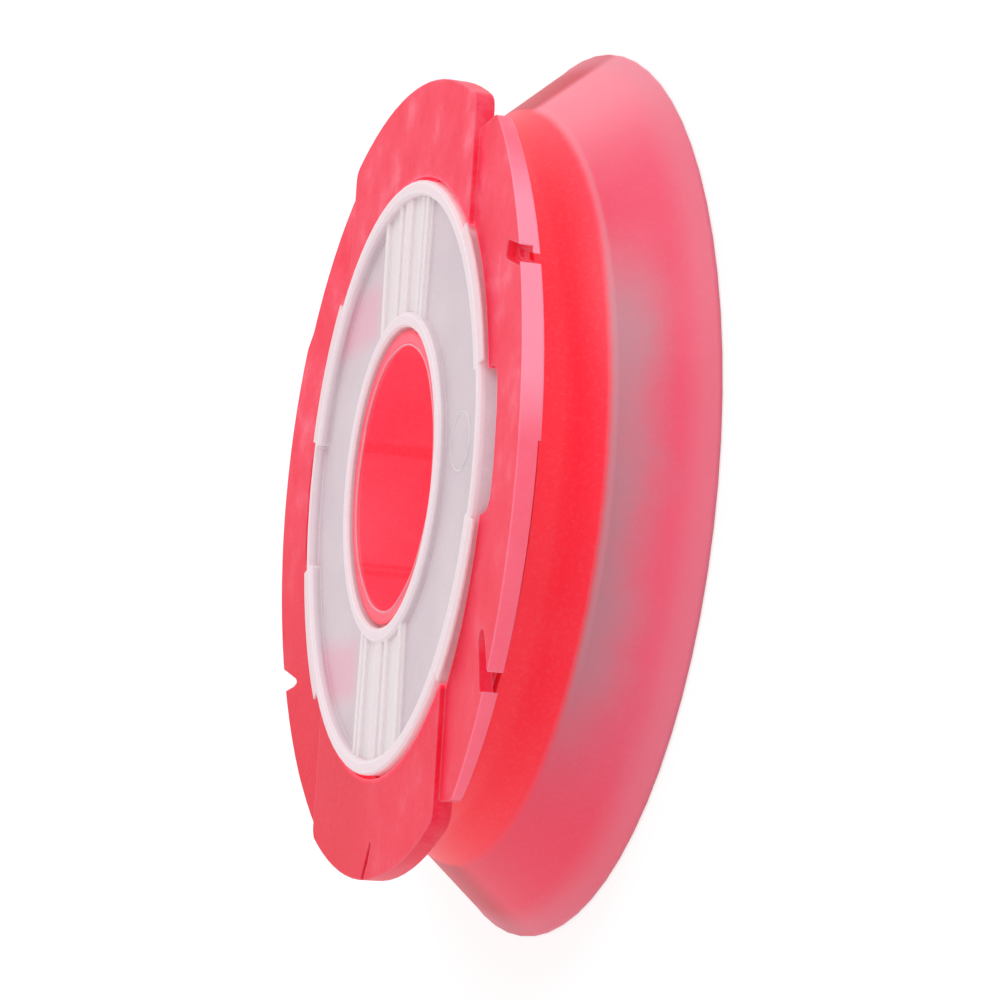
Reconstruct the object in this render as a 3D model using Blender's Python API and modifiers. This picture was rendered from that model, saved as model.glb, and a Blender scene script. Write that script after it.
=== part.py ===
"""Fishing line spool with a turning lock ring.

Three mouldings: the spool body (flared rear flange, drum, web and hub tube), the front
flange (a raised band with two lower wings, a channel for the ring's lugs and a sleeve that
goes into the drum) and the white lock ring, which turns on the hub tube until its lugs lie
under the wings.  +Z is the spool's axis, front face up, and the back rests on z = 0.
"""
from math import acos, asin, cos, degrees, hypot, radians, sin, sqrt

import bmesh
import bpy
from mathutils import Matrix

MM = 0.001
TURN_STEPS = 72            # sides of a full turn
GAP = 0.3 * MM             # room between pieces that meet
STEP = 0.05 * MM           # keeps two faces of one piece out of the same plane

# spool body
RIM_RADIUS = 33.3 * MM
RIM_EDGE = 0.5 * MM        # thickness of the flared flange at its rim
FLARE_RADIUS = 28.5 * MM   # where the straight flare starts to curve up to the drum
FLARE_Z = 5.8 * MM
DRUM_RADIUS = 26.4 * MM    # the line is wound on this
DRUM_FOOT = 8.6 * MM
DRUM_TOP = 10.1 * MM
WALL = 1.1 * MM
HUB_BORE = 10.0 * MM
HUB_TOP = 12.4 * MM
WEB_LOW = 4.9 * MM
WEB_HIGH = 6.1 * MM
RIB_COUNT = 6
RIB_THICKNESS = 1.0 * MM
RIB_LOW = 0.6 * MM         # the ribs stop short of the surface that the back rests on

# front flange
BAND_TOP = 12.65 * MM
BAND_LOW = 11.2 * MM
BAND_HALF_WIDTH = 15.75 * MM
BAND_ARC_RADIUS = 35.5 * MM
BAND_REACH = 29.85 * MM    # the band's furthest point from the axis
BAND_LEAN = 1.3 * MM       # the end arcs' middle lies this far to the left
WING_TOP = 12.15 * MM      # height at the band's side
WING_SLOPE = 0.055         # the wings rise outwards
WING_LOW = 11.45 * MM
WING_CHORD = 15.0 * MM     # the wings start inside the band
WING_RADIUS = 30.7 * MM    # right wing
LEFT_WING_RADIUS = 31.0 * MM
WING_INSET = 0.6 * MM      # the left wing is narrower above its step
WING_STEP_Y = 15.6 * MM
WING_UPPER_END = 23.1 * MM  # where the right wing is cut off
WING_LOWER_END = 24.1 * MM
THIN_LOW = 11.65 * MM      # underside of the right wing's thinner lower half
CORNER = 1.2 * MM
HOLE_RADIUS = 22.5 * MM    # the lock ring sits in this
CHANNEL_RADIUS = 24.9 * MM  # the lugs turn inside this
CHANNEL_TOP = 11.8 * MM
LEDGE_TOP = 10.6 * MM
LEDGE_LOW = 9.8 * MM
LEDGE_BORE = 21.4 * MM
SLEEVE_LOW = 7.5 * MM
ENTRY_RADIUS = 24.8 * MM   # mouth through which a lug drops into the channel
ENTRY_HALF_WIDTH = 5.0 * MM
POCKET_LOW = 11.9 * MM     # floor of the shallow pocket behind the upper notch

# lock ring
RING_RADIUS = HOLE_RADIUS - GAP
RING_TOP = 13.15 * MM
RING_RIM = 1.1 * MM
LUG_RIM = 0.4 * MM         # the rim is thinner over the lugs
RING_BORE = 11.3 * MM
INNER_RIM_RADIUS = 13.2 * MM
INNER_RIM_TOP = 12.85 * MM
FLOOR_TOP = 11.6 * MM
FLOOR_LOW = LEDGE_TOP + GAP
HUB_SKIRT_LOW = 8.4 * MM
SKIRT_RADIUS = 21.1 * MM
SKIRT_WALL = 0.9 * MM
SKIRT_LOW = 8.0 * MM
SLOT_ANGLE = 41.0
SLOT_WIDTH = 4.3 * MM
LUG_RADIUS = CHANNEL_RADIUS - 0.4 * MM
LUG_HALF_WIDTH = 4.7 * MM
LIP_RADIUS = 23.0 * MM
LIP_LOW = BAND_TOP + 0.25 * MM
LIP_END_ANGLE = 44.0       # each lip ends at the band's side
PAD_HALF_WIDTH = 5.8 * MM
PAD_TOP = 11.95 * MM
PAD_RIB_TOP = 12.5 * MM
PAD_RIBS = ((-5.3 * MM, 0.6 * MM), (-1.7 * MM, 0.6 * MM), (0.4 * MM, 1.6 * MM),
            (4.2 * MM, 0.6 * MM), (5.3 * MM, 0.6 * MM))

PINK = (0.93, 0.115, 0.17, 1.0)
MILKY = (0.80, 0.74, 0.77, 1.0)

ABOVE = 14.5 * MM          # clear of everything on the front


# ---------------------------------------------------------------- scene and materials

def empty_scene():
    for old in list(bpy.data.objects):
        bpy.data.objects.remove(old, do_unlink=True)


def make_collection(name):
    collection = bpy.data.collections.new(name)
    bpy.context.scene.collection.children.link(collection)
    return collection


def plastic(name, colour, roughness):
    material = bpy.data.materials.new(name)
    material.use_nodes = True
    shader = material.node_tree.nodes["Principled BSDF"]
    shader.inputs["Base Color"].default_value = colour
    shader.inputs["Roughness"].default_value = roughness
    shader.inputs["Metallic"].default_value = 0.0
    return material


def add_object(name, data, collection):
    piece = bpy.data.objects.new(name, data)
    collection.objects.link(piece)
    return piece


# ---------------------------------------------------------------- outline helpers

def arc(centre, radius, start, end, steps):
    """Points on an arc, angles in degrees."""
    angles = [radians(start + (end - start) * i / steps) for i in range(steps + 1)]
    return [(centre[0] + radius * cos(a), centre[1] + radius * sin(a)) for a in angles]


def rounded(points, radius, steps=4):
    """The same outline with every real corner rounded to the radius given."""
    result = []
    for before, corner, after in zip(points[-1:] + points[:-1], points, points[1:] + points[:1]):
        to_before = (before[0] - corner[0], before[1] - corner[1])
        to_after = (after[0] - corner[0], after[1] - corner[1])
        size_before = hypot(*to_before)
        size_after = hypot(*to_after)
        along = -(to_before[0] * to_after[0] + to_before[1] * to_after[1])
        if along > cos(radians(18)) * size_before * size_after:
            result.append(corner)
            continue
        reach = min(radius, 0.45 * size_before, 0.45 * size_after)
        start = [corner[i] + to_before[i] / size_before * reach for i in (0, 1)]
        end = [corner[i] + to_after[i] / size_after * reach for i in (0, 1)]
        for step in range(steps + 1):
            t = step / steps
            result.append(tuple((1 - t) ** 2 * start[i] + 2 * t * (1 - t) * corner[i]
                                + t ** 2 * end[i] for i in (0, 1)))
    return result


def mirrored(points):
    """The outline turned half a turn about the axis."""
    return [(-x, -y) for x, y in points]


def strip(inner_radius, outer_radius, left, right, steps=2):
    """An upright strip between two circles about the axis."""
    across = [left + (right - left) * i / steps for i in range(steps + 1)]
    inner = [(x, sqrt(inner_radius ** 2 - x ** 2)) for x in across]
    outer = [(x, sqrt(outer_radius ** 2 - x ** 2)) for x in reversed(across)]
    return inner + outer


# ---------------------------------------------------------------- solids

def evaluated_mesh(piece):
    depsgraph = bpy.context.evaluated_depsgraph_get()
    mesh = bpy.data.meshes.new_from_object(piece.evaluated_get(depsgraph))
    mesh.transform(piece.matrix_world)
    bm = bmesh.new()
    bm.from_mesh(mesh)
    bmesh.ops.remove_doubles(bm, verts=bm.verts, dist=1e-7)
    loose = [edge for edge in bm.edges if not edge.link_faces]
    bmesh.ops.delete(bm, geom=loose, context="EDGES")
    bmesh.ops.recalc_face_normals(bm, faces=bm.faces)
    bm.to_mesh(mesh)
    bm.free()
    return mesh


def outline_solid(name, outline, low, high, collection):
    """A flat outline given a thickness."""
    curve = bpy.data.curves.new(name, "CURVE")
    curve.dimensions = "2D"
    curve.fill_mode = "BOTH"
    curve.extrude = (high - low) / 2
    spline = curve.splines.new("POLY")
    spline.points.add(len(outline) - 1)
    for point, (x, y) in zip(spline.points, outline):
        point.co = (x, y, 0, 1)
    spline.use_cyclic_u = True
    flat = add_object(name, curve, collection)
    flat.location.z = (high + low) / 2
    bpy.context.view_layer.update()
    mesh = evaluated_mesh(flat)
    bpy.data.objects.remove(flat, do_unlink=True)
    return add_object(name, mesh, collection)


def turned_solid(name, section, collection, steps=TURN_STEPS):
    """A closed section in the XZ plane, running down its outer side, turned about Z."""
    mesh = bpy.data.meshes.new(name)
    count = len(section)
    mesh.from_pydata([(r, 0, z) for r, z in section],
                     [(i, (i + 1) % count) for i in range(count)], [])
    piece = add_object(name, mesh, collection)
    screw = piece.modifiers.new("turn", "SCREW")
    screw.steps = steps
    screw.render_steps = steps
    screw.use_merge_vertices = True
    screw.merge_threshold = 0.00001
    bpy.context.view_layer.update()
    turned = evaluated_mesh(piece)
    bpy.data.objects.remove(piece, do_unlink=True)
    return add_object(name, turned, collection)


def upright_plate(name, outline, thickness, collection, turn):
    """An outline in radius and height, given a thickness and turned about Z."""
    plate = outline_solid(name, outline, -thickness / 2, thickness / 2, collection)
    stand_up = Matrix.Rotation(radians(90), 4, "X")
    plate.data.transform(Matrix.Rotation(radians(turn), 4, "Z") @ stand_up)
    return plate


def block(name, size, centre, collection, turn=0.0):
    mesh = bpy.data.meshes.new(name)
    bm = bmesh.new()
    bmesh.ops.create_cube(bm, size=1.0)
    bmesh.ops.scale(bm, vec=size, verts=bm.verts)
    bmesh.ops.translate(bm, vec=centre, verts=bm.verts)
    bmesh.ops.rotate(bm, cent=(0, 0, 0), matrix=Matrix.Rotation(radians(turn), 3, "Z"),
                     verts=bm.verts)
    bm.to_mesh(mesh)
    bm.free()
    return add_object(name, mesh, collection)


def soften(piece, width, segments=1):
    """Round the sharp edges of a solid before it is joined to others."""
    bevel = piece.modifiers.new("edge", "BEVEL")
    bevel.width = width
    bevel.segments = segments
    bevel.limit_method = "ANGLE"
    bevel.angle_limit = radians(50)
    bpy.context.view_layer.update()
    mesh = evaluated_mesh(piece)
    piece.modifiers.clear()
    piece.data = mesh
    return piece


def tilt_top(piece, slope, start, above):
    """Raise what lies above a height, the more the further it is from the middle."""
    for vertex in piece.data.vertices:
        if vertex.co.z > above:
            vertex.co.z += slope * (abs(vertex.co.x) - start)
    return piece


def combine(piece, operation, others):
    """Join the others to the piece, or cut them from it, one after another."""
    for other in others:
        change = piece.modifiers.new(operation.lower(), "BOOLEAN")
        change.operation = operation
        change.solver = "EXACT"
        change.object = other
        bpy.context.view_layer.update()
        mesh = evaluated_mesh(piece)
        piece.modifiers.clear()
        piece.data = mesh
        bpy.data.objects.remove(other, do_unlink=True)
    return piece


def finish_piece(piece, name, material, parts):
    """Give a finished solid its name, material, smooth round faces and collection."""
    piece.name = name
    piece.data.name = name
    bm = bmesh.new()
    bm.from_mesh(piece.data)
    bmesh.ops.dissolve_degenerate(bm, dist=1e-6, edges=bm.edges)
    bmesh.ops.triangulate(bm, faces=[f for f in bm.faces if len(f.verts) > 4])
    bm.to_mesh(piece.data)
    bm.free()
    piece.data.shade_smooth()
    piece.data.set_sharp_from_angle(angle=radians(30))
    piece.data.materials.clear()
    piece.data.materials.append(material)
    for collection in list(piece.users_collection):
        collection.objects.unlink(piece)
    parts.objects.link(piece)
    return piece


# ---------------------------------------------------------------- spool body

def rim_section_end():
    """The flared flange's rounded rim, from its front side round to its back."""
    half = RIM_EDGE / 2
    return [(RIM_RADIUS - half + half * cos(radians(a)), half + half * sin(radians(a)))
            for a in (75, 45, 15, -15, -45, -75, -90)]


def drum_foot_curve(fall):
    """The curve by which the drum runs out into the flare, from the drum down."""
    bend = (DRUM_RADIUS, FLARE_Z + (FLARE_RADIUS - DRUM_RADIUS) / fall)
    start = (DRUM_RADIUS, DRUM_FOOT)
    end = (FLARE_RADIUS, FLARE_Z)
    return [tuple((1 - t) ** 2 * start[i] + 2 * t * (1 - t) * bend[i] + t ** 2 * end[i]
                  for i in (0, 1)) for t in (0.0, 0.25, 0.5, 0.75, 1.0)]


def make_spool_body(parts, workshop, material):
    hub_outer = HUB_BORE + 1.0 * MM
    fall = (RIM_RADIUS - FLARE_RADIUS) / (FLARE_Z - RIM_EDGE)
    flare_foot = RIM_RADIUS - 1.6 * MM
    flare_top = flare_foot - fall * WEB_LOW
    section = [(DRUM_RADIUS - WALL, DRUM_TOP), (DRUM_RADIUS, DRUM_TOP)]
    section += drum_foot_curve(fall)
    section += rim_section_end()
    section += [(flare_foot, 0), (flare_top, WEB_LOW), (hub_outer, WEB_LOW), (hub_outer, 0)]
    section += [(HUB_BORE + 0.3 * MM, 0), (HUB_BORE, 0.3 * MM)]
    section += [(HUB_BORE, HUB_TOP - 0.2 * MM), (HUB_BORE + 0.2 * MM, HUB_TOP)]
    section += [(hub_outer, HUB_TOP), (hub_outer, WEB_HIGH), (DRUM_RADIUS - WALL, WEB_HIGH)]
    body = turned_solid("spool_body", section, workshop)

    inside_wall = 0.4 * MM
    rib = [(HUB_BORE + inside_wall, RIB_LOW), (flare_foot - inside_wall, RIB_LOW),
           (flare_top + 0.3 * inside_wall, WEB_LOW + inside_wall),
           (HUB_BORE + inside_wall, WEB_LOW + inside_wall)]
    ribs = [upright_plate("rib", rib, RIB_THICKNESS, workshop, 360 / RIB_COUNT * (i + 0.5))
            for i in range(RIB_COUNT)]
    combine(body, "UNION", ribs)
    return finish_piece(body, "spool_body", material, parts)


# ---------------------------------------------------------------- front flange

def band_outline():
    """Two straight sides and two flat arcs, one at each end."""
    centre = (-BAND_LEAN, BAND_REACH - BAND_ARC_RADIUS)
    start = degrees(acos((BAND_HALF_WIDTH + BAND_LEAN) / BAND_ARC_RADIUS))
    end = 180 - degrees(acos((BAND_HALF_WIDTH - BAND_LEAN) / BAND_ARC_RADIUS))
    top = arc(centre, BAND_ARC_RADIUS, start, end, 18)
    return rounded(top + [(x, -y) for x, y in reversed(top)], CORNER)


def wing_outline(cut_ends):
    """The right wing, from its lower corner round the rim to its upper one."""
    if cut_ends:
        lower = -degrees(asin(WING_LOWER_END / WING_RADIUS))
        upper = degrees(asin(WING_UPPER_END / WING_RADIUS))
        rim = arc((0, 0), WING_RADIUS, lower, upper, 28)
        return rounded([(WING_CHORD, -WING_LOWER_END)] + rim + [(WING_CHORD, WING_UPPER_END)],
                       CORNER)
    half_angle = degrees(acos(WING_CHORD / LEFT_WING_RADIUS))
    rim = []
    for x, y in arc((0, 0), LEFT_WING_RADIUS, -half_angle, half_angle, 36):
        share = 1 - WING_INSET / LEFT_WING_RADIUS if y < -WING_STEP_Y else 1
        rim.append((x * share, y * share))
    return rim


def thin_part_outline():
    """What is thinned under the right wing: outside the drum, from the middle down."""
    start = -degrees(asin(1.0 * MM / DRUM_RADIUS))
    return (arc((0, 0), DRUM_RADIUS + 0.3 * MM, start, -80, 16)
            + [(12 * MM, -36 * MM), (36 * MM, -36 * MM), (36 * MM, -1 * MM)])


def entry_outline():
    """The mouth in the right wing, with round corners."""
    half_angle = degrees(asin(ENTRY_HALF_WIDTH / ENTRY_RADIUS))
    rim = arc((0, 0), ENTRY_RADIUS, -half_angle, half_angle, 3)
    inner = HOLE_RADIUS - 2 * MM
    corners = [(inner, -ENTRY_HALF_WIDTH)] + rim + [(inner, ENTRY_HALF_WIDTH)]
    return rounded(corners, 1.6 * MM)


def line_notches():
    """Outlines of the slots at the rim that hold the line's end."""
    slit = ((36, 8.5), (25.3, 12.05), (25.1, 12.75), (36, 9.15))
    hook = ((23.4, -13.4), (24.3, -12.6), (25.2, -13.4), (26.3, -15.9), (36, -17.0),
            (36, -17.6), (28.5, -16.8), (24.5, -17.1))
    wedge = ((-36, -11.0), (-24.5, -14.0), (-24.2, -14.3), (-24.9, -14.6), (-36, -16.2))
    tail = ((-2.0, -36), (-1.3, -29.9), (0.0, -28.2), (0.9, -26.9), (1.2, -27.2), (0.6, -28.6),
            (-0.3, -29.9), (-0.8, -36))
    return [rounded([(x * MM, y * MM) for x, y in corners], 0.5 * MM, 2)
            for corners in (slit, hook, wedge, tail)]


def pocket_outline():
    """The shallow pocket at the inner end of the upper notch."""
    corners = ((28.4, 10.7), (24.7, 11.95), (25.1, 13.2), (28.8, 12.0))
    return rounded([(x * MM, y * MM) for x, y in corners], 0.3 * MM, 2)


def make_front_flange(parts, workshop, material):
    sleeve_outer = DRUM_RADIUS - WALL - GAP
    sleeve_inner = sleeve_outer - 0.9 * MM
    wall_outer = DRUM_RADIUS - 0.1 * MM
    section = [(LEDGE_BORE - 0.5 * MM, WING_LOW + 0.2 * MM), (wall_outer, WING_LOW + 0.2 * MM)]
    section += [(wall_outer, DRUM_TOP + GAP), (sleeve_outer, DRUM_TOP + GAP)]
    section += [(sleeve_outer, SLEEVE_LOW), (sleeve_inner, SLEEVE_LOW)]
    section += [(sleeve_inner, LEDGE_LOW), (LEDGE_BORE - 0.5 * MM, LEDGE_LOW)]
    flange = turned_solid("front_flange", section, workshop)

    right = outline_solid("wing_right", wing_outline(True), WING_LOW, WING_TOP, workshop)
    left = outline_solid("wing_left", mirrored(wing_outline(False)), WING_LOW, WING_TOP, workshop)
    under = outline_solid("under", thin_part_outline(), WING_LOW - 1 * MM, THIN_LOW, workshop)
    wings = [combine(soften(right, 0.2 * MM), "DIFFERENCE", [under]), soften(left, 0.2 * MM)]
    for wing in wings:
        tilt_top(wing, WING_SLOPE, BAND_HALF_WIDTH, WING_TOP - 0.25 * MM)
    combine(flange, "UNION", wings)

    channel = [(0, CHANNEL_TOP), (CHANNEL_RADIUS, CHANNEL_TOP), (CHANNEL_RADIUS, LEDGE_TOP),
               (0, LEDGE_TOP)]
    combine(flange, "DIFFERENCE", [turned_solid("channel", channel, workshop)])

    band = outline_solid("band", band_outline(), BAND_LOW, BAND_TOP, workshop)
    combine(flange, "UNION", [soften(band, 0.2 * MM)])

    bore = [(0, ABOVE), (LEDGE_BORE, ABOVE), (LEDGE_BORE, SLEEVE_LOW - GAP),
            (0, SLEEVE_LOW - GAP)]
    hole = [(0, ABOVE), (HOLE_RADIUS, ABOVE), (HOLE_RADIUS, LEDGE_TOP), (0, LEDGE_TOP)]
    cutters = [turned_solid("bore", bore, workshop), turned_solid("hole", hole, workshop)]
    for side in (entry_outline(), mirrored(entry_outline())):
        cutters.append(outline_solid("entry", side, LEDGE_TOP + 0.5 * MM, ABOVE, workshop))
    for shape in line_notches():
        cutters.append(outline_solid("notch", shape, BAND_LOW - 0.5 * MM, ABOVE, workshop))
    cutters.append(outline_solid("pocket", pocket_outline(), POCKET_LOW, ABOVE, workshop))
    combine(flange, "DIFFERENCE", cutters)
    return finish_piece(flange, "front_flange", material, parts)


# ---------------------------------------------------------------- lock ring

def lug_outline():
    half_angle = degrees(asin(LUG_HALF_WIDTH / LUG_RADIUS))
    rim = arc((0, 0), LUG_RADIUS, -half_angle, half_angle, 3)
    inner = RING_RADIUS - RING_RIM
    corners = [(inner, -LUG_HALF_WIDTH)] + rim + [(inner, LUG_HALF_WIDTH)]
    return rounded(corners, 1.3 * MM)


def lug_pocket_outline():
    """Where the floor reaches out over a lug, up to a thinner rim."""
    outer = RING_RADIUS - LUG_RIM
    half_width = LUG_HALF_WIDTH + GAP
    half_angle = degrees(asin(half_width / outer))
    inner = RING_RADIUS - RING_RIM - 1 * MM
    rim = arc((0, 0), outer, -half_angle, half_angle, 4)
    return rounded([(inner, -half_width)] + rim + [(inner, half_width)], 0.5 * MM, 2)


def lip_outlines():
    """Four thin lips that reach over the wings, one on each side of each lug."""
    start = degrees(asin(LUG_HALF_WIDTH / RING_RADIUS)) + 1.5
    inner = RING_RADIUS - 0.5 * RING_RIM
    outlines = []
    for low, high in ((start, LIP_END_ANGLE), (-LIP_END_ANGLE, -start)):
        outer_arc = arc((0, 0), LIP_RADIUS, low, high, 6)
        inner_arc = arc((0, 0), inner, high, low, 6)
        outlines += [outer_arc + inner_arc, mirrored(outer_arc + inner_arc)]
    return outlines


def make_lock_ring(parts, workshop, material):
    rim_inner = RING_RADIUS - RING_RIM
    edge = 0.2 * MM
    section = [(RING_RADIUS - edge, RING_TOP), (RING_RADIUS, RING_TOP - edge)]
    section += [(RING_RADIUS, FLOOR_LOW), (SKIRT_RADIUS, FLOOR_LOW), (SKIRT_RADIUS, SKIRT_LOW)]
    section += [(SKIRT_RADIUS - SKIRT_WALL, SKIRT_LOW), (SKIRT_RADIUS - SKIRT_WALL, FLOOR_LOW)]
    section += [(RING_BORE + 1.0 * MM, FLOOR_LOW), (RING_BORE + 1.0 * MM, HUB_SKIRT_LOW)]
    section += [(RING_BORE, HUB_SKIRT_LOW), (RING_BORE, INNER_RIM_TOP - edge)]
    section += [(RING_BORE + edge, INNER_RIM_TOP), (INNER_RIM_RADIUS - edge, INNER_RIM_TOP)]
    section += [(INNER_RIM_RADIUS, INNER_RIM_TOP - edge), (INNER_RIM_RADIUS, FLOOR_TOP)]
    section += [(rim_inner, FLOOR_TOP), (rim_inner, RING_TOP - edge), (rim_inner + edge, RING_TOP)]
    ring = turned_solid("lock_ring", section, workshop)

    cutters = []
    for side in (lug_pocket_outline(), mirrored(lug_pocket_outline())):
        cutters.append(outline_solid("lug_pocket", side, FLOOR_TOP, ABOVE, workshop))
    slot_low = SKIRT_LOW - 1.0 * MM
    slot_high = FLOOR_LOW - 0.3 * MM
    for angle in (SLOT_ANGLE, 180 - SLOT_ANGLE, 180 + SLOT_ANGLE, -SLOT_ANGLE):
        cutters.append(block("skirt_slot", (4 * MM, SLOT_WIDTH, slot_high - slot_low),
                             (SKIRT_RADIUS, 0, (slot_high + slot_low) / 2), workshop, turn=angle))
    combine(ring, "DIFFERENCE", cutters)

    joined = []
    for outline in (lug_outline(), mirrored(lug_outline())):
        joined.append(outline_solid("lug", outline, FLOOR_LOW + STEP, FLOOR_TOP - STEP, workshop))
    for outline in lip_outlines():
        joined.append(outline_solid("lip", outline, LIP_LOW, RING_TOP - STEP, workshop))
    inside_rims = (INNER_RIM_RADIUS - 0.4 * MM, rim_inner + 0.4 * MM)
    shapes = [(strip(*inside_rims, -PAD_HALF_WIDTH, PAD_HALF_WIDTH, 8), FLOOR_LOW + 0.2 * MM,
               PAD_TOP)]
    for x, width in PAD_RIBS:
        rib = strip(inside_rims[0] + STEP, inside_rims[1] - STEP, x - width / 2, x + width / 2)
        shapes.append((rib, FLOOR_TOP, PAD_RIB_TOP))
    for outline, low, high in shapes:
        joined.append(outline_solid("pad", outline, low, high, workshop))
        joined.append(outline_solid("pad", mirrored(outline), low, high, workshop))
    combine(ring, "UNION", joined)
    return finish_piece(ring, "lock_ring", material, parts)


def main():
    empty_scene()
    parts = make_collection("fishing_line_spool")
    workshop = make_collection("workshop")
    make_spool_body(parts, workshop, plastic("pink_body", PINK, 0.38))
    make_front_flange(parts, workshop, plastic("pink_flange", PINK, 0.42))
    ring = make_lock_ring(parts, workshop, plastic("milky_ring", MILKY, 0.35))
    axis = add_object("ring_axis", None, parts)
    ring.parent = axis


main()
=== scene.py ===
"""Looks of the fishing line spool: translucent pink mouldings and a milky lock ring.

Each of the frame's three solids is shown by a welded copy of itself, so that its round faces
shade smoothly. The plastic is painted by place: soft masks over x (towards the right wing),
y (up along the band), z (out of the front face) and the radius, which is the distance from the
spool's axis.
"""
from math import atan2, cos, hypot, radians, sin

import bmesh
import bpy
from mathutils import Matrix, Vector


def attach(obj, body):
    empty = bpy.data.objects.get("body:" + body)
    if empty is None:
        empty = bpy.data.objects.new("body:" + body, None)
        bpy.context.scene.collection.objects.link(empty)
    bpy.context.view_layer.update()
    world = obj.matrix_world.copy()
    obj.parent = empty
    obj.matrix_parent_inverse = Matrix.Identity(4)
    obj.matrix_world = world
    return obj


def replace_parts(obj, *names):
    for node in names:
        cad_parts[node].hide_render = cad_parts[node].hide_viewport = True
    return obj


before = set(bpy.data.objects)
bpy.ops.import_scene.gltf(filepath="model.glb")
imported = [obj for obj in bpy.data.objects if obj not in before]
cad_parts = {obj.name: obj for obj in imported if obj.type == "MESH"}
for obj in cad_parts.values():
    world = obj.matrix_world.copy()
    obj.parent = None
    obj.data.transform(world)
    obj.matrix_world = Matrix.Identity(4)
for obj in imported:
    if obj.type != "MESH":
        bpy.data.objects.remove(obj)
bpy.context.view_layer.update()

MM = 0.001


# ---------------------------------------------------------------- colours, in linear light

DRUM_PINKS = ((0.94, 0.020, 0.050), (0.96, 0.025, 0.055))
DRUM_FOOT_PINK = (0.96, 0.09, 0.15)
BORE_PINKS = ((0.93, 0.06, 0.11), (0.95, 0.10, 0.155))
SEAM_PINK = (0.80, 0.03, 0.06)
FLASH_PINK = (0.80, 0.30, 0.36)
FLARE_PINKS = ((0.82, 0.07, 0.145), (0.88, 0.095, 0.185))
FLARE_LOW_SHADE = (0.82, 0.115, 0.19)
FLARE_BOTTOM = (0.96, 0.035, 0.095)
FLARE_GREY_REFLECTION = (0.54, 0.265, 0.325)
FLARE_CREASE_HIGHLIGHT = (0.80, 0.34, 0.40)
FLARE_SHEEN = (0.97, 0.27, 0.35)
FLARE_PAINTED_SHADE = (0.60, 0.005, 0.035)
FLARE_RIM_HIGHLIGHT = (0.78, 0.24, 0.31)
BAND_PINKS = ((0.90, 0.014, 0.056), (0.93, 0.040, 0.092), (0.96, 0.125, 0.19))
BAND_SHADE_PINK = (0.79, 0.008, 0.035)
WALL_LIT_PINK = (0.93, 0.32, 0.44)
EDGE_HIGHLIGHT_PINK = (0.96, 0.24, 0.33)

FLOOR_MILKS = ((0.55, 0.45, 0.495), (0.61, 0.52, 0.555))
PAD_MILK = (0.72, 0.655, 0.66)
RIM_MILK = (0.72, 0.60, 0.64)
SEE_THROUGH_PINK = (0.67, 0.36, 0.44)
MARK_MILK = (0.90, 0.84, 0.84)
EDGE_HIGHLIGHT_MILK = (0.92, 0.84, 0.87)


# ---------------------------------------------------------------- tints, by place

# A tint is a colour, its greatest share, and the places that Shader.mask reads. Later tints
# lie over earlier ones. Lengths are in millimetres, and "sideways" is x over the radius.

DRUM_TINTS = (
    (DRUM_FOOT_PINK, 0.12, {"radius": (26.9, 28.5), "y": (-16, 4)}),
)
BORE_SEAMS = ((-6.6, -6.35), (-5.9, -5.8), (3.2, 3.8))
SEAM_BLUR = 0.25
BORE_TINTS = tuple(
    (SEAM_PINK, 0.5, {"x": (0, -2), "y": (low - SEAM_BLUR, low, high, high + SEAM_BLUR)})
    for low, high in BORE_SEAMS
)
UPPER = (0, 10)
LOWER = (6, -14)
FLARE_TINTS = (
    # Painted shade: the flare's lower side is tinted greyer.
    (FLARE_LOW_SHADE, 0.5, {"y": LOWER}),
    (FLARE_BOTTOM, 0.8, {"y": (-19, -28)}),
    # Painted reflection: a greyish band on the flare's inner part, on the right, with a ragged
    # border.
    (FLARE_GREY_REFLECTION, 0.95, {"ragged": (33.0, 29.7), "y": (-24, -12, 7, 17), "x": (0, 14)}),
    # Painted highlight: a pale line along the crease.
    (FLARE_CREASE_HIGHLIGHT, 0.4, {"radius": (28.3, 28.5, 28.6, 28.8), "y": (-20, -6)}),
    (FLARE_SHEEN, 0.8, {"y": UPPER, "sideways": (0.26, 0.33, 0.50, 0.84)}),
    # Painted shade: dark crimson where the flare turns away, above and below.
    (FLARE_PAINTED_SHADE, 1.0, {"y": UPPER, "sideways": (-0.60, -0.25, 0.26, 0.33)}),
    (FLARE_PAINTED_SHADE, 0.8, {"y": LOWER, "sideways": (-0.60, -0.25, -0.02, 0.14)}),
    # Painted highlight: paler towards the flare's outer rim.
    (FLARE_RIM_HIGHLIGHT, 0.5, {"radius": (31.2, 33.0)}),
)
PAD_TINTS = (
    (PAD_MILK, 0.8, {"z": (12.25, 12.36), "radius": (12.2, 12.6, 20.9, 21.2)}),
)
# Painted see-through: pink patches standing for the pink parts seen through the milky ring.
SEE_THROUGH_TINTS = (
    (SEE_THROUGH_PINK, 0.85, {"x": (-5.5, -9.5), "aside": (10.5, 13, 15, 17.5), "z": (12.6, 12.4)}),
)


# ---------------------------------------------------------------- plastics

# Noise scales are per metre: 100 gives clouds of about a centimetre.
BODY_CLOUDS = 90.0
REFLECTION_CLOUDS = 160.0
BAND_CLOUDS = 230.0
RING_CLOUDS = 120.0
LINE_CLOUDS = 400.0
SPECKLES = 3200.0
PINK_GRAIN = 900.0
MILK_GRAIN = 700.0

SOFT_STOPS = (0.3, 0.7)
BAND_STOPS = (0.34, 0.54, 0.72)
LINE_STOPS = (0.35, 0.65)

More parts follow.
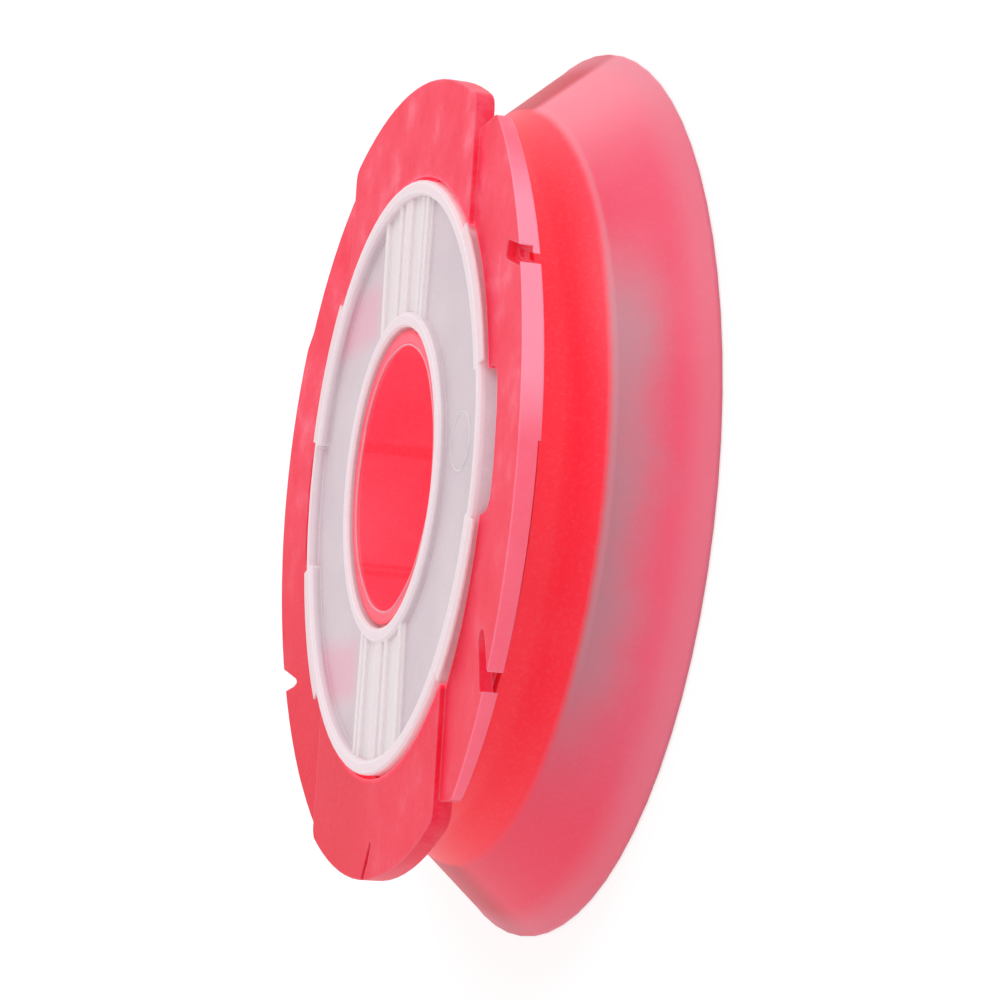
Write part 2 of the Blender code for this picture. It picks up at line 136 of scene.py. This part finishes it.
REFLECTION_DRIFT = 2.4 * MM          # how far the clouds push the painted reflection's border
EDGE_WIDTH = 0.2 * MM
EDGE_TURN = (0.99, 0.90)       # cosines: a normal turned by this much is an edge
SPECKLE_RISE = (0.45, 0.75)
SPECKLE_SHARE = 0.08
GRAIN_STRENGTH = 0.25
GRAIN_DEPTH = 0.05 * MM

# Weight, reach and how far each of red, green and blue gets.
PINK_SCATTER = (0.35, 1.2 * MM, (1.0, 0.35, 0.35))
MILK_SCATTER = (0.5, 2.0 * MM, (1.0, 0.9, 0.9))
LINE_SCATTER = (0.3, 1.0 * MM, (1.0, 0.6, 0.6))


class Shader:
    """Writes one node material, whose masks and tints are given by place."""

    def __init__(self, name):
        self.material = bpy.data.materials.new(name)
        self.material.use_nodes = True
        self.tree = self.material.node_tree
        self.principled = self.tree.nodes["Principled BSDF"]
        self.place = self.node("TexCoord").outputs["Object"]
        parts = self.node("SeparateXYZ")
        self.link(self.place, parts.inputs["Vector"])
        self.x, self.y, z = (parts.outputs[axis] for axis in "XYZ")
        squares = self.math("ADD", self.math("MULTIPLY", self.x, self.x),
                            self.math("MULTIPLY", self.y, self.y))
        self.radius = self.math("SQRT", squares)
        self.measures = {"x": (self.x, MM), "y": (self.y, MM), "z": (z, MM),
                         "radius": (self.radius, MM)}

    def node(self, kind, **settings):
        made = self.tree.nodes.new("ShaderNode" + kind)
        for key, value in settings.items():
            setattr(made, key, value)
        return made

    def link(self, source, target):
        self.tree.links.new(source, target)

    def feed(self, target, value):
        """A socket takes another node's output, a colour or a number."""
        if isinstance(value, bpy.types.NodeSocket):
            self.link(value, target)
        elif isinstance(value, tuple):
            target.default_value = (*value, 1.0)
        else:
            target.default_value = value

    def math(self, operation, *values):
        made = self.node("Math", operation=operation)
        for target, value in zip(made.inputs, values):
            self.feed(target, value)
        return made.outputs["Value"]

    def plus(self, base, mask, gain):
        """The base, and the gain on top where the mask is 1."""
        return self.math("MULTIPLY_ADD", mask, gain, base)

    def step(self, value, start, end):
        """A smooth rise from 0 at the start to 1 at the end, which may lie below the start."""
        made = self.node("MapRange", interpolation_type="SMOOTHSTEP")
        self.link(value, made.inputs["Value"])
        made.inputs["From Min"].default_value = min(start, end)
        made.inputs["From Max"].default_value = max(start, end)
        if end < start:
            made.inputs["To Min"].default_value = 1.0
            made.inputs["To Max"].default_value = 0.0
        return made.outputs["Result"]

    def measure(self, name, output, unit=MM):
        """Let masks use an output by name, with its places given in the unit."""
        self.measures[name] = (output, unit)

    def mask(self, **places):
        """1 where each named measure lies within its places, and 0 outside.

        Two places are where the mask begins and where it is full. Four are where it begins,
        is full, starts to fade and has ended.
        """
        result = None
        for name, stops in places.items():
            output, unit = self.measures[name]
            begin, full, *fading = (stop * unit for stop in stops)
            steps = [self.step(output, begin, full)]
            if fading:
                full_until, ended = fading
                steps.append(self.step(output, ended, full_until))
            for step in steps:
                result = step if result is None else self.math("MULTIPLY", result, step)
        return result

    def noise(self, scale, detail=3.0, roughness=0.55):
        made = self.node("TexNoise")
        made.inputs["Scale"].default_value = scale
        made.inputs["Detail"].default_value = detail
        made.inputs["Roughness"].default_value = roughness
        self.link(self.place, made.inputs["Vector"])
        return made.outputs["Fac"]

    def ramp(self, value, positions, colours):
        made = self.node("ValToRGB")
        elements = made.color_ramp.elements
        while len(elements) < len(colours):
            elements.new(0.5)
        for element, position, colour in zip(elements, positions, colours):
            element.position = position
            element.color = (*colour, 1.0)
        self.link(value, made.inputs["Fac"])
        return made.outputs["Color"]

    def mix(self, share, under, over):
        made = self.node("Mix", data_type="RGBA")
        self.feed(made.inputs["Factor"], share)
        self.feed(made.inputs["A"], under)
        self.feed(made.inputs["B"], over)
        return made.outputs["Result"]

    def tint(self, under, tints):
        for colour, share, places in tints:
            under = self.mix(self.math("MULTIPLY", self.mask(**places), share), under, colour)
        return under

    def rounded_normal(self):
        """The surface's normal, turned gradually over its edges."""
        rounded = self.node("Bevel", samples=4)
        rounded.inputs["Radius"].default_value = EDGE_WIDTH
        return rounded.outputs["Normal"]

    def edges(self, rounded):
        """1 along the edges, 0 on the faces."""
        agreement = self.node("VectorMath", operation="DOT_PRODUCT")
        self.link(rounded, agreement.inputs[0])
        self.link(self.node("NewGeometry").outputs["Normal"], agreement.inputs[1])
        return self.step(agreement.outputs["Value"], *EDGE_TURN)

    def bump(self, value, rounded):
        made = self.node("Bump")
        made.inputs["Strength"].default_value = GRAIN_STRENGTH
        made.inputs["Distance"].default_value = GRAIN_DEPTH
        self.link(value, made.inputs["Height"])
        self.link(rounded, made.inputs["Normal"])
        self.link(made.outputs["Normal"], self.principled.inputs["Normal"])

    def finish(self, colour, highlight_and_speckle_colour, highlight_share, glow, scatter, roughness, gloss, grain):
        """What all mouldings share: painted edge highlights, speckles, painted glow, gloss and
        grain.
        """
        rounded = self.rounded_normal()
        # Painted highlight: the edges are mixed towards the pale edge colour.
        edge_highlight = self.math("MULTIPLY", self.edges(rounded), highlight_share)
        colour = self.mix(edge_highlight, colour, highlight_and_speckle_colour)
        speckle = self.step(self.noise(SPECKLES, detail=2.0), *SPECKLE_RISE)
        colour = self.mix(self.math("MULTIPLY", speckle, SPECKLE_SHARE), colour, highlight_and_speckle_colour)
        weight, reach, radii = scatter
        sockets = self.principled.inputs
        self.link(colour, sockets["Base Color"])
        # Painted glow: the colour is also given off as light, at the glow's strength.
        self.link(colour, sockets["Emission Color"])
        self.feed(sockets["Emission Strength"], glow)
        sockets["Subsurface Weight"].default_value = weight
        sockets["Subsurface Radius"].default_value = radii
        sockets["Subsurface Scale"].default_value = reach
        sockets["Roughness"].default_value = roughness
        sockets["Specular IOR Level"].default_value = gloss
        self.bump(self.noise(grain), rounded)
        return self.material


def body_plastic():
    """Saturated on the drum and in the bore, paler on the flared flange, with a painted grey
    reflection, painted highlights and painted shade there.
    """
    shader = Shader("pink_body")
    shader.measure("sideways", shader.math("DIVIDE", shader.x, shader.radius), unit=1.0)
    drift = shader.math("MULTIPLY", shader.noise(REFLECTION_CLOUDS), REFLECTION_DRIFT)
    shader.measure("ragged", shader.math("ADD", shader.radius, drift))

    cloud = shader.noise(BODY_CLOUDS)
    drum = shader.tint(shader.ramp(cloud, SOFT_STOPS, DRUM_PINKS), DRUM_TINTS)
    bore = shader.tint(shader.ramp(cloud, SOFT_STOPS, BORE_PINKS), BORE_TINTS)
    flare = shader.tint(shader.ramp(cloud, SOFT_STOPS, FLARE_PINKS), FLARE_TINTS)
    on_the_flare = shader.mask(radius=(28.1, 28.6))
    colour = shader.mix(shader.mask(radius=(10.95, 10.7)), drum, bore)
    colour = shader.mix(on_the_flare, colour, flare)

    # Painted glow: emission brightens the thick drum, less on the lower side, and the flare
    # hardly.
    glow = shader.plus(0.27, shader.mask(y=LOWER), -0.12)
    glow = shader.math("MULTIPLY", glow, shader.plus(1.0, on_the_flare, -0.93))
    return shader.finish(colour, EDGE_HIGHLIGHT_PINK, highlight_share=0.35, glow=glow, scatter=PINK_SCATTER,
                         roughness=0.42, gloss=0.35, grain=PINK_GRAIN)


def flange_plastic():
    """Cloudy pink, darker below as painted shade, with painted light and glow on the right
    wing's outer wall, standing for light coming through it.
    """
    shader = Shader("pink_flange")
    cloud = shader.noise(BAND_CLOUDS, detail=5.0, roughness=0.62)
    colour = shader.ramp(cloud, BAND_STOPS, BAND_PINKS)
    # Painted shade: the band is darker towards the bottom, less so on the right.
    lower_shade_share = shader.plus(0.95, shader.mask(x=(-6, 5)), -0.5)
    low = shader.math("MULTIPLY", shader.mask(y=(10, -22)), lower_shade_share)
    colour = shader.mix(low, colour, BAND_SHADE_PINK)
    # Painted light: the right wing's outer wall is paler, most in its middle, standing for
    # light coming through it.
    wall = shader.mask(radius=(30.42, 30.65), x=(12, 17))
    wall_share = shader.plus(0.4, shader.mask(y=(-2, 4, 15, 21)), 0.5)
    colour = shader.mix(shader.math("MULTIPLY", wall, wall_share), colour, WALL_LIT_PINK)

    # Painted glow: emission lifts the shade in the hole round the ring and on the outer wall.
    glow = shader.plus(0.02, shader.mask(radius=(22.0, 22.2, 22.6, 22.8)), 0.5)  # in the hole
    glow = shader.plus(glow, wall, 0.12)
    return shader.finish(colour, EDGE_HIGHLIGHT_PINK, highlight_share=0.6, glow=glow, scatter=PINK_SCATTER,
                         roughness=0.42, gloss=0.13, grain=PINK_GRAIN)


def ring_plastic():
    """Milky, with a painted glow, and pink painted in two patches beside the pads for the pink
    parts seen through it.
    """
    shader = Shader("milky_ring")
    shader.measure("aside", shader.math("ABSOLUTE", shader.y))
    milk = shader.ramp(shader.noise(RING_CLOUDS), SOFT_STOPS, FLOOR_MILKS)
    colour = shader.tint(milk, PAD_TINTS)
    rims_and_lugs = shader.math("MAXIMUM", shader.mask(z=(12.4, 12.8)),
                                shader.mask(radius=(22.1, 22.4)))
    colour = shader.mix(rims_and_lugs, colour, RIM_MILK)
    # Painted see-through: the pink patches beside the pads.
    colour = shader.tint(colour, SEE_THROUGH_TINTS)

    # Painted glow: emission over the whole ring, more below the floor where the wings shade
    # it, and most on the lugs' ends.
    glow = shader.plus(0.12, shader.mask(z=(11.9, 11.5)), 0.25)   # below the floor
    glow = shader.plus(glow, shader.mask(radius=(23.8, 24.3)), 0.3)  # the lugs' ends
    return shader.finish(colour, EDGE_HIGHLIGHT_MILK, highlight_share=0.7, glow=glow, scatter=MILK_SCATTER,
                         roughness=0.38, gloss=0.4, grain=MILK_GRAIN)


def line_plastic(name, colour):
    shader = Shader(name)
    darker = tuple(0.85 * channel for channel in colour)
    mottled = shader.ramp(shader.noise(LINE_CLOUDS), LINE_STOPS, (colour, darker))
    # Painted glow: a little emission on the thin lines.
    return shader.finish(mottled, colour, highlight_share=0.2, glow=0.1, scatter=LINE_SCATTER,
                         roughness=0.4, gloss=0.4, grain=PINK_GRAIN)


# ---------------------------------------------------------------- pieces

# The ring's floor is shown closer under the rims than it lies in the solid, and the rim round
# the bore narrower.
FLOOR_TOP = 11.6 * MM
FLOOR_SEEN = 12.2 * MM
RIBS_TOP = 12.55 * MM
RIB_HEIGHT_SEEN = 0.5          # what stands on the floor keeps this much of its height
POCKET_RADIUS = 21.95 * MM
INNER_RIM_RADIUS = 13.2 * MM
INNER_RIM_SEEN = 12.4 * MM
INNER_RIM_REACH = 0.4 * MM
SLACK = 0.02 * MM

WELD_DISTANCE = 0.001 * MM
SMOOTH_UP_TO = radians(30)


def reshape_ring(mesh):
    """Lift the floor with the pads and ribs on it, and narrow the inner rim."""
    for vertex in mesh.vertices:
        x, y, z = vertex.co
        if z < FLOOR_TOP - SLACK:
            continue
        radius = hypot(x, y)
        if radius < POCKET_RADIUS and z < RIBS_TOP:
            vertex.co.z = FLOOR_SEEN + RIB_HEIGHT_SEEN * (z - FLOOR_TOP)
        if abs(radius - INNER_RIM_RADIUS) < INNER_RIM_REACH:
            share = (radius + INNER_RIM_SEEN - INNER_RIM_RADIUS) / radius
            vertex.co.x *= share
            vertex.co.y *= share


def add_piece(name, mesh, body, material):
    mesh.materials.clear()
    mesh.materials.append(material)
    piece = bpy.data.objects.new(name, mesh)
    bpy.context.scene.collection.objects.link(piece)
    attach(piece, body)
    return piece


def dress(node, body, material):
    """The node's own solid, welded so that its round faces shade smoothly."""
    mesh = bpy.data.meshes.new(node + "_skin")
    bm = bmesh.new()
    bm.from_mesh(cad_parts[node].data)
    bmesh.ops.remove_doubles(bm, verts=bm.verts, dist=WELD_DISTANCE)
    bm.to_mesh(mesh)
    bm.free()
    for layer in ("custom_normal", "sharp_face", "sharp_edge"):
        if layer in mesh.attributes:
            mesh.attributes.remove(mesh.attributes[layer])
    if node == "lock_ring":
        reshape_ring(mesh)
    mesh.shade_smooth()
    mesh.set_sharp_from_angle(angle=SMOOTH_UP_TO)
    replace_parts(add_piece(node + "_skin", mesh, body, material), node)


def thin_ring(name, centre, radius, thickness, waver, body, material):
    """A thin moulded line round a circle, drawn inwards here and there by the waver."""
    bpy.ops.mesh.primitive_torus_add(major_radius=radius, minor_radius=thickness,
                                     major_segments=120, minor_segments=8)
    made = bpy.context.object
    mesh = made.data.copy()
    bpy.data.objects.remove(made, do_unlink=True)
    for vertex in mesh.vertices:
        angle = atan2(vertex.co.y, vertex.co.x)
        inward = waver * (0.5 + 0.35 * sin(5 * angle) + 0.15 * cos(11 * angle))
        share = 1 - inward / radius
        vertex.co = (vertex.co.x * share + centre[0], vertex.co.y * share + centre[1],
                     vertex.co.z + centre[2])
    mesh.shade_smooth()
    add_piece(name, mesh, body, material)


dress("spool_body", "spool", body_plastic())
dress("front_flange", "spool", flange_plastic())
dress("lock_ring", "ring", ring_plastic())
thin_ring("bore_flash", centre=(0, 0, 12.36 * MM), radius=10.12 * MM, thickness=0.09 * MM,
          waver=0.18 * MM, body="spool",
          material=line_plastic("flash_pink", FLASH_PINK))
thin_ring("ejector_mark", centre=(15.7 * MM, 0.8 * MM, FLOOR_SEEN), radius=2.1 * MM,
          thickness=0.06 * MM, waver=0.02 * MM, body="ring",
          material=line_plastic("mark_milk", MARK_MILK))


# ---------------------------------------------------------------- floor, light and camera

STAGE_HALF = 1.5               # metres
STAGE_BELOW = 0.05 * MM        # the floor lies this far under the spool
PAPER = (0.80, 0.80, 0.80)     # what lights the spool from below
THIN_PAPER = (0.35, 0.35, 0.35)
PAPER_LIFT = 0.72              # with the thin paper, white wherever no shadow falls

WORLD_STRENGTH = 0.88
KEY_PLACE = Vector((0.20, 0.40, 0.45))
KEY_SIZE = 0.30
KEY_WATTS = 0.8
SPOOL_MIDDLE = Vector((0, 0, 0.006))

CAMERA_PLACE = Vector((194.48, -27.77, 67.63)) * MM
CAMERA_FORWARD = Vector((-0.9422, 0.1304, -0.3086))
CAMERA_UP = Vector((0.1051, 0.9897, 0.0971))
CAMERA_LENS = 98.33
CAMERA_SENSOR = 36.0


def stage_material():
    """White paper, lifted for what sees it directly, so that only the shadow is grey."""
    material = bpy.data.materials.new("stage_white")
    material.use_nodes = True
    nodes, links = material.node_tree.nodes, material.node_tree.links
    nodes.clear()
    output = nodes.new("ShaderNodeOutputMaterial")
    path = nodes.new("ShaderNodeLightPath")
    seen = path.outputs["Is Camera Ray"]
    for kind in ("Is Glossy Ray", "Is Transmission Ray"):
        either = nodes.new("ShaderNodeMath")
        either.operation = "MAXIMUM"
        links.new(seen, either.inputs[0])
        links.new(path.outputs[kind], either.inputs[1])
        seen = either.outputs["Value"]
    paper = nodes.new("ShaderNodeBsdfDiffuse")
    paper.inputs["Color"].default_value = (*PAPER, 1.0)
    thin = nodes.new("ShaderNodeBsdfDiffuse")
    thin.inputs["Color"].default_value = (*THIN_PAPER, 1.0)
    lift = nodes.new("ShaderNodeEmission")
    lift.inputs["Strength"].default_value = PAPER_LIFT
    both = nodes.new("ShaderNodeAddShader")
    mix = nodes.new("ShaderNodeMixShader")
    links.new(thin.outputs["BSDF"], both.inputs[0])
    links.new(lift.outputs["Emission"], both.inputs[1])
    links.new(seen, mix.inputs["Fac"])
    links.new(paper.outputs["BSDF"], mix.inputs[1])
    links.new(both.outputs["Shader"], mix.inputs[2])
    links.new(mix.outputs["Shader"], output.inputs["Surface"])
    return material


def make_stage():
    half = STAGE_HALF
    mesh = bpy.data.meshes.new("floor")
    mesh.from_pydata([(-half, -half, 0), (half, -half, 0), (half, half, 0), (-half, half, 0)],
                     [], [(0, 1, 2, 3)])
    floor = bpy.data.objects.new("floor", mesh)
    floor.location.z = -STAGE_BELOW
    mesh.materials.append(stage_material())
    bpy.context.scene.collection.objects.link(floor)


def facing(position, target, up):
    """The pose of a lamp or camera that looks from the position at the target."""
    back = (position - target).normalized()
    right = up.cross(back).normalized()
    turn = Matrix((right, back.cross(right), back)).transposed()
    return Matrix.Translation(position) @ turn.to_4x4()


def make_light():
    world = bpy.data.worlds.new("studio")
    world.use_nodes = True
    background = world.node_tree.nodes["Background"]
    background.inputs["Color"].default_value = (1.0, 1.0, 1.0, 1.0)
    background.inputs["Strength"].default_value = WORLD_STRENGTH
    bpy.context.scene.world = world
    light = bpy.data.lights.new("key", "AREA")
    light.shape = "DISK"
    light.size = KEY_SIZE
    light.energy = KEY_WATTS
    lamp = bpy.data.objects.new("key", light)
    lamp.matrix_world = facing(KEY_PLACE, SPOOL_MIDDLE, Vector((0, 0, 1)))
    bpy.context.scene.collection.objects.link(lamp)


def make_camera():
    """The camera stands low at the right and is turned a quarter, as the photograph is."""
    camera = bpy.data.cameras.new("camera")
    camera.sensor_width = CAMERA_SENSOR
    camera.lens = CAMERA_LENS
    camera.clip_start = MM
    shot = bpy.data.objects.new("camera", camera)
    shot.matrix_world = facing(CAMERA_PLACE, CAMERA_PLACE + CAMERA_FORWARD, CAMERA_UP)
    bpy.context.scene.collection.objects.link(shot)
    bpy.context.scene.camera = shot


make_stage()
make_light()
make_camera()
bpy.context.scene.view_settings.view_transform = "Standard"
